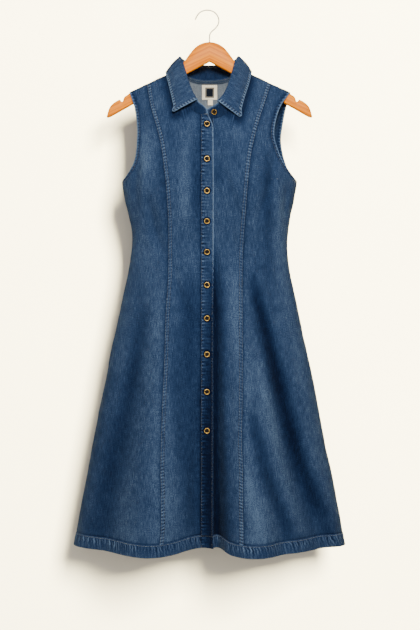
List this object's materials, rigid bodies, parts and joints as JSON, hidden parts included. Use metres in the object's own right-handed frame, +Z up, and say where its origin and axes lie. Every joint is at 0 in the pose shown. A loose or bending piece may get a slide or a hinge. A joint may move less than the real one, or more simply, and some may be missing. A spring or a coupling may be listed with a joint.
{
  "type": "button-down midi dress on a wooden hanger",
  "caption": "Sleeveless button-front denim midi dress with a shirt collar, princess seams and a flared skirt, hung on a wooden hanger.",
  "frame": {"origin": "inside top of the hanger's hook, where a rail holds it, on the dress's centre line", "axes": "+Z up; the dress's front faces -Y; +X is the wearer's left, the viewer's right"},
  "size_m": [0.596, 0.2056, 1.1871],
  "materials": {
    "denim": "washed twill",
    "tape": "plain cotton tape",
    "label": "woven cotton",
    "brass": "brushed",
    "wood": "satin varnish",
    "steel": "dark"
  },
  "bodies": {
    "root": {"front_centre_right": "denim", "front_side_right": "denim", "front_centre_left": "denim", "front_side_left": "denim", "back_centre": "denim", "back_side_right": "denim", "back_side_left": "denim", "placket_right": "denim", "placket_left": "denim", "collar_stand": "denim", "collar_fall": "denim", "neck_tape": "tape", "neck_label": "label", "size_tab": "label", "button_01": "brass", "button_02": "brass", "button_03": "brass", "button_04": "brass", "button_05": "brass", "button_06": "brass", "button_07": "brass", "button_08": "brass", "button_09": "brass", "button_10": "brass", "button_11": "brass", "hanger_wood": "wood", "hanger_hook": "steel"}
  },
  "joints": []
}
